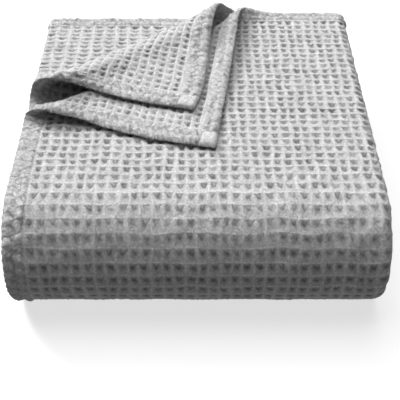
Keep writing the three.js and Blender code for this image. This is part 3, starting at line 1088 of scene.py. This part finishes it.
def add_painted_v_shadows(nodes, hem):
    """Painted V of shadow in the back of every waffle cell and painted ridge highlights, fading out on the
    hem.
    """
    column, row, strength = nodes.parts(nodes.attribute("cell", "Vector"))
    whole = nodes.add("ShaderNodeCombineXYZ", {0: nodes.math("FLOOR", column), 1: nodes.math("FLOOR", row)})
    chance = nodes.add("ShaderNodeTexWhiteNoise", {"Vector": whole.outputs[0]}, noise_dimensions="2D")
    shift, lean, paleness = nodes.parts(chance.outputs["Color"])
    u = nodes.math("FRACT", column)
    v = nodes.math("FRACT", row)
    shift = nodes.product(nodes.minus(shift, 0.5), MARK_SHIFT)
    from_pivot = nodes.minus(v, LEAN_PIVOT)
    lean = nodes.product(nodes.minus(lean, 0.5), from_pivot, MARK_LEAN)
    off = nodes.minus(nodes.minus(u, 0.5), nodes.math("ADD", shift, lean))
    to_foot = nodes.math("DIVIDE", nodes.minus(MARK_FOOT, v), MARK_FOOT - MARK_BACK)
    arm = nodes.math("MULTIPLY", to_foot, MARK_HALF_WIDTH)
    past_arm = nodes.minus(nodes.math("ABSOLUTE", off), arm)
    stroke = nodes.ramp(nodes.math("ABSOLUTE", past_arm), 0.0, MARK_STROKE, 1.0, 0.0)
    fill = nodes.product(nodes.ramp(past_arm, 0.0, MARK_STROKE, 1.0, 0.0), MARK_FILL)
    cloth = nodes.minus(1.0, hem)
    # Painted shadow: the dark V where the back wall of each pit is out of the light
    painted_v_shadow = nodes.product(
        nodes.math("MAXIMUM", stroke, fill),
        nodes.ramp(v, *MARK_COMES, 0.0, 1.0),
        nodes.ramp(v, *MARK_GOES, 1.0, 0.0),
        nodes.about_one(paleness, MARK_SPREAD, 1.0),
        strength,
        cloth,
    )
    # Painted highlights: lighter lines where the crests of the ridges round each cell catch the light
    from_row = nodes.math("MINIMUM", v, nodes.minus(1.0, v))
    from_column = nodes.math("MINIMUM", u, nodes.minus(1.0, u))
    row_highlight = nodes.ramp(from_row, 0.0, ROW_HIGHLIGHT_HALF_WIDTH, 1.0, 0.0)
    column_highlight = nodes.ramp(from_column, 0.0, COLUMN_HIGHLIGHT_HALF_WIDTH, COLUMN_HIGHLIGHT, 0.0)
    column_highlight = nodes.product(column_highlight, strength)
    line = nodes.product(nodes.math("MAXIMUM", row_highlight, column_highlight), cloth)
    return painted_v_shadow, line


def add_hem_marks(nodes, flat, hem):
    """Dents between the hem's knobs, its smooth corner squares and the dents round them, which get painted
    shade.
    """
    column, row, doubled = nodes.parts(nodes.attribute("knob_place", "Vector"))
    drift = nodes.noise(flat, DRIFT_SCALE, DRIFT_DETAIL)
    drift = nodes.product(nodes.minus(drift, 0.5), KNOB_DRIFT)
    row = nodes.math("ADD", row, drift)
    column = nodes.math("ADD", column, drift)
    staggered = nodes.math("ADD", row, nodes.product(nodes.math("FLOOR", column), 0.5))
    waves = [nodes.math("SINE", nodes.product(place, math.pi)) for place in (column, staggered)]
    knob = nodes.math("ABSOLUTE", nodes.product(*waves))
    corner = nodes.ramp(doubled, *CORNER_RIM, 0.0, 1.0)
    plain = nodes.minus(1.0, corner)
    # Painted shade: the dents between the knobs and the rim round a corner square are darker in the colour
    shaded_dents = nodes.product(nodes.ramp(knob, 0.0, KNOB_DENT_REACH, 1.0, 0.0), hem, plain)
    # The product of corner and plain is a quarter in the middle of the rim, and 4 makes it 1
    shaded_rim = nodes.product(corner, plain, 4.0)
    return shaded_dents, corner, shaded_rim


def make_cloth_material():
    """Matt grey cotton: crossing yarns, fuzz, knobs, strongest on the hem, mottling, painted shade, shadow
    and highlights.
    """
    material = bpy.data.materials.new("waffle_cloth")
    nodes = Nodes(material)
    flat = nodes.attribute("flat_place", "Vector")
    # The relief attribute carries the painted shade of the pits and the stitch groove
    relief = nodes.attribute("relief", "Fac")
    hem = nodes.attribute("hem", "Fac")
    painted_v_shadow, line = add_painted_v_shadows(nodes, hem)
    shaded_dents, corner, shaded_rim = add_hem_marks(nodes, flat, hem)
    yarns = []
    for part in nodes.parts(flat)[:2]:
        wave = nodes.math("SINE", nodes.product(part, 2 * math.pi / YARN_SPACING))
        yarns.append(nodes.math("ABSOLUTE", wave))
    weave = nodes.product(*yarns)
    fuzz = nodes.noise(flat, FUZZ_SCALE, NOISE_DETAIL)
    mottle = nodes.noise(flat, MOTTLE_SCALE, NOISE_DETAIL)
    spots = nodes.add(
        "ShaderNodeTexVoronoi",
        {"Vector": flat, "Scale": KNOB_SCALE, "Smoothness": 0.4},
        feature="SMOOTH_F1",
    ).outputs["Distance"]
    knobs = nodes.minus(1.0, spots)
    knob_height = nodes.math("ADD", nodes.product(hem, HEM_KNOB_HEIGHT), KNOB_HEIGHT)
    height = nodes.math("ADD", nodes.product(weave, WEAVE_HEIGHT), fuzz)
    height = nodes.math("ADD", height, nodes.product(knobs, knob_height))
    for lowered in (painted_v_shadow, shaded_dents, shaded_rim):
        height = nodes.minus(height, nodes.product(lowered, MARK_DEPTH))
    bump_inputs = {"Height": height, "Distance": BUMP_DISTANCE, "Strength": BUMP_STRENGTH}
    bump = nodes.add("ShaderNodeBump", bump_inputs)

    # Painted shade, a painted V of shadow and painted ridge highlights go into the grey, with the real
    # grain
    grey = nodes.product(
        YARN_GREY,
        nodes.about_one(relief, PAINTED_PIT_SHADE, 1.0),
        nodes.about_one(painted_v_shadow, -PAINTED_V_SHADOW),
        nodes.about_one(line, PAINTED_RIDGE_HIGHLIGHT),
        nodes.about_one(shaded_dents, -PAINTED_DENT_SHADE),
        nodes.about_one(corner, CORNER_LIGHT),
        nodes.about_one(shaded_rim, -PAINTED_RIM_SHADE),
        nodes.about_one(fuzz, GRAIN, 0.5),
        nodes.about_one(mottle, MOTTLE, 0.5),
    )
    shader = nodes.add(
        "ShaderNodeBsdfPrincipled",
        {
            "Base Color": grey,
            "Roughness": 0.95,
            "Specular IOR Level": 0.15,
            "Sheen Weight": 0.15,
            "Sheen Roughness": 0.5,
            "Normal": bump.outputs["Normal"],
        },
    )
    nodes.add("ShaderNodeOutputMaterial", {"Surface": shader.outputs["BSDF"]})
    return material


# Camera at the photograph's angle: where its axis meets the top of the stack, its distance, pitch and lens
AIM = (2.0, -165.8, HEIGHT)
CAMERA_DISTANCE = 852.5
CAMERA_PITCH_DEG = 40.2
CAMERA_LENS = 79.1
CAMERA_SENSOR = 36.0


def make_camera():
    """Camera square on to the front, looking down on it."""
    pitch = math.radians(CAMERA_PITCH_DEG)
    data = bpy.data.cameras.new("camera")
    data.lens = CAMERA_LENS
    data.sensor_width = CAMERA_SENSOR
    camera = bpy.data.objects.new("camera", data)
    backwards = np.array([0, -math.cos(pitch), math.sin(pitch)])
    camera.location = (AIM + CAMERA_DISTANCE * backwards) * MM
    camera.rotation_euler = (math.pi / 2 - pitch, 0, 0)
    bpy.context.scene.collection.objects.link(camera)
    bpy.context.scene.camera = camera


# Studio, in metres: pale floor that glows a little, far walls, weak dome, softbox and key, back and left
FLOOR_SIZE = 30.0
WALL_HEIGHT = 8.0
FLOOR_GREY = 0.4
FLOOR_GLOW = 0.66
DOME_STRENGTH = 0.25
DOME_HORIZON = 0.1
DOME_BELOW = 1.1
SOFTBOX_SIZE = 5.6
SOFTBOX_PLACE = (-0.8, 1.6, 4.4)
SOFTBOX_WATTS = 290.0
KEY_SIZE = 1.7
KEY_PLACE = (-3.2, 3.3, 3.7)
KEY_WATTS = 350.0


def add_stage(name, points, faces, material):
    """Piece of the stage, which throws no light on the cloth."""
    mesh = bpy.data.meshes.new(name)
    mesh.from_pydata(points, [], faces)
    mesh.materials.append(material)
    piece = bpy.data.objects.new(name, mesh)
    piece.visible_diffuse = False
    bpy.context.scene.collection.objects.link(piece)
    return piece


def make_floor():
    """Plain floor, and walls round it that cast no shadow."""
    material = bpy.data.materials.new("floor")
    nodes = Nodes(material)
    shader = nodes.add(
        "ShaderNodeBsdfPrincipled",
        {
            "Base Color": (FLOOR_GREY, FLOOR_GREY, FLOOR_GREY, 1),
            "Roughness": 0.6,
            "Emission Color": (1, 1, 1, 1),
            "Emission Strength": FLOOR_GLOW,
        },
    )
    nodes.add("ShaderNodeOutputMaterial", {"Surface": shader.outputs["BSDF"]})
    reach = FLOOR_SIZE / 2
    ends = [(-reach, -reach), (reach, -reach), (reach, reach), (-reach, reach)]
    ground = [(x, y, 0) for x, y in ends]
    above = [(x, y, WALL_HEIGHT) for x, y in ends]
    add_stage("floor", ground, [(0, 1, 2, 3)], material)
    sides = [(k, (k + 1) % 4, (k + 1) % 4 + 4, k + 4) for k in range(4)]
    walls = add_stage("walls", ground + above, sides, material)
    walls.visible_shadow = False
    walls.visible_glossy = False


def make_light():
    """Weak dome, and two area lights that face the throw."""
    world = bpy.data.worlds.new("studio")
    bpy.context.scene.world = world
    nodes = Nodes(world)
    up = nodes.parts(nodes.add("ShaderNodeTexCoord").outputs["Generated"])[2]
    sky = nodes.add("ShaderNodeMapRange", {0: up, 1: 0.0, 2: 1.0, 3: DOME_HORIZON, 4: 1.0})
    below = nodes.math("LESS_THAN", up, 0.0)
    grey = nodes.add("ShaderNodeMix", {0: below, 2: sky.outputs[0], 3: DOME_BELOW})
    background = nodes.add("ShaderNodeBackground", {"Color": grey.outputs[0], "Strength": DOME_STRENGTH})
    nodes.add("ShaderNodeOutputWorld", {"Surface": background.outputs[0]})

    for name, size, place, watts in (
        ("softbox", SOFTBOX_SIZE, SOFTBOX_PLACE, SOFTBOX_WATTS),
        ("key", KEY_SIZE, KEY_PLACE, KEY_WATTS),
    ):
        data = bpy.data.lights.new(name, "AREA")
        data.size = size
        data.energy = watts
        light = bpy.data.objects.new(name, data)
        light.location = place
        light.rotation_euler = (-light.location).to_track_quat("-Z", "Y").to_euler()
        bpy.context.scene.collection.objects.link(light)


make_camera()
make_floor()
make_light()
bpy.context.scene.view_settings.view_transform = "Standard"

cloth = make_cloth()
cloth.data.materials.append(make_cloth_material())
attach(cloth, "root")
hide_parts("throw_blanket")
